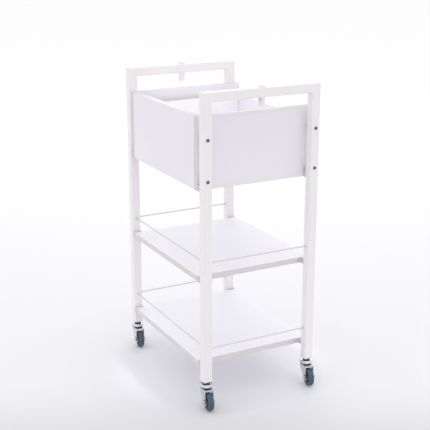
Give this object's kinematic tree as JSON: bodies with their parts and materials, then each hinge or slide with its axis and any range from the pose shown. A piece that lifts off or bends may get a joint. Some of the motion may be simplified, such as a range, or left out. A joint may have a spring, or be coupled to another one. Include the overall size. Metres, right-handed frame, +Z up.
{
  "type": "rolling salon trolley",
  "caption": "Rolling salon trolley: white square-tube end frames with lamp sockets, an open case with a pull-out drawer, wire-railed shelves and swivel casters.",
  "frame": {"origin": "on the floor, under the middle of the footprint box", "axes": "+Z up; the drawer opens to -Y; the end frames stand at -X (left) and +X (right)"},
  "size_m": [0.5282, 0.3591, 0.8665],
  "materials": {
    "frame_coat": "satin white powder coat",
    "white_board": "white melamine on chipboard with edge bands",
    "drawer_board": "white melamine on chipboard",
    "black_plastic": "matt black",
    "light_plastic": "pale grey",
    "glide_plastic": "natural nylon",
    "dark_screw": "dark bronze",
    "brass": "bright brass",
    "steel": "plain steel",
    "dark_zinc": "dark zinc",
    "chrome": "bright chrome",
    "bright_zinc": "bright zinc",
    "tyre": "blue-grey rubber",
    "hub_plastic": "dark brown",
    "cap_steel": "grey steel"
  },
  "bodies": {
    "trolley": {"left_front_post": "frame_coat", "left_rear_post": "frame_coat", "right_front_post": "frame_coat", "right_rear_post": "frame_coat", "left_handle_rail": "frame_coat", "right_handle_rail": "frame_coat", "left_lamp_socket": "frame_coat", "right_lamp_socket": "frame_coat", "rear_guards": "frame_coat", "end_guards": "frame_coat", "case_left_panel": "white_board", "case_right_panel": "white_board", "case_back_panel": "white_board", "case_bottom_panel": "white_board", "middle_shelf": "white_board", "lower_shelf": "white_board", "caster_seals": "black_plastic", "shelf_caps": "light_plastic", "corner_blocks": "light_plastic", "case_spacers": "light_plastic", "guard_grommets": "light_plastic", "post_plugs": "light_plastic", "case_screws": "dark_screw", "lock_screws": "brass", "board_studs": "steel", "case_runners": "steel", "caster_balls": "steel", "caster_nuts": "dark_zinc", "left_front_caster_head": "chrome", "left_rear_caster_head": "chrome", "right_front_caster_head": "chrome", "right_rear_caster_head": "chrome"},
    "left_front_swivel": {"left_front_caster_fork": "bright_zinc", "left_front_axle": "bright_zinc"},
    "left_front_wheel": {"left_front_tyre": "tyre", "left_front_hub": "hub_plastic", "left_front_dust_caps": "cap_steel"},
    "left_rear_swivel": {"left_rear_caster_fork": "bright_zinc", "left_rear_axle": "bright_zinc"},
    "left_rear_wheel": {"left_rear_tyre": "tyre", "left_rear_hub": "hub_plastic", "left_rear_dust_caps": "cap_steel"},
    "right_front_swivel": {"right_front_caster_fork": "bright_zinc", "right_front_axle": "bright_zinc"},
    "right_front_wheel": {"right_front_tyre": "tyre", "right_front_hub": "hub_plastic", "right_front_dust_caps": "cap_steel"},
    "right_rear_swivel": {"right_rear_caster_fork": "bright_zinc", "right_rear_axle": "bright_zinc"},
    "right_rear_wheel": {"right_rear_tyre": "tyre", "right_rear_hub": "hub_plastic", "right_rear_dust_caps": "cap_steel"},
    "drawer": {"drawer_front": "white_board", "drawer_left_side": "drawer_board", "drawer_right_side": "drawer_board", "drawer_back": "drawer_board", "drawer_bottom": "drawer_board", "drawer_runners": "steel", "drawer_glides": "glide_plastic"}
  },
  "joints": [
    {"name": "drawer_slide", "type": "slide", "parent": "trolley", "child": "drawer", "axis": [0, -1, 0], "range_m": [0, 0.24]},
    {"name": "left_front_swivel_turn", "type": "hinge", "parent": "trolley", "child": "left_front_swivel", "pos_m": [-0.21625, -0.1605, 0.0585], "axis": [0, 0, 1], "continuous": true},
    {"name": "left_front_wheel_spin", "type": "hinge", "parent": "left_front_swivel", "child": "left_front_wheel", "pos_m": [-0.236, -0.15737, 0.025], "axis": [-0.1564, -0.9877, 0], "continuous": true},
    {"name": "left_rear_swivel_turn", "type": "hinge", "parent": "trolley", "child": "left_rear_swivel", "pos_m": [-0.21625, 0.1605, 0.0585], "axis": [0, 0, 1], "continuous": true},
    {"name": "left_rear_wheel_spin", "type": "hinge", "parent": "left_rear_swivel", "child": "left_rear_wheel", "pos_m": [-0.2361, 0.16294, 0.025], "axis": [-0.1219, -0.9925, 0], "continuous": true},
    {"name": "right_front_swivel_turn", "type": "hinge", "parent": "trolley", "child": "right_front_swivel", "pos_m": [0.24875, -0.1605, 0.0585], "axis": [0, 0, 1], "continuous": true},
    {"name": "right_front_wheel_spin", "type": "hinge", "parent": "right_front_swivel", "child": "right_front_wheel", "pos_m": [0.22895, -0.15772, 0.025], "axis": [-0.1392, -0.9903, 0], "continuous": true},
    {"name": "right_rear_swivel_turn", "type": "hinge", "parent": "trolley", "child": "right_rear_swivel", "pos_m": [0.24875, 0.1605, 0.0585], "axis": [0, 0, 1], "continuous": true},
    {"name": "right_rear_wheel_spin", "type": "hinge", "parent": "right_rear_swivel", "child": "right_rear_wheel", "pos_m": [0.22886, 0.16259, 0.025], "axis": [-0.1045, -0.9945, 0], "continuous": true}
  ]
}
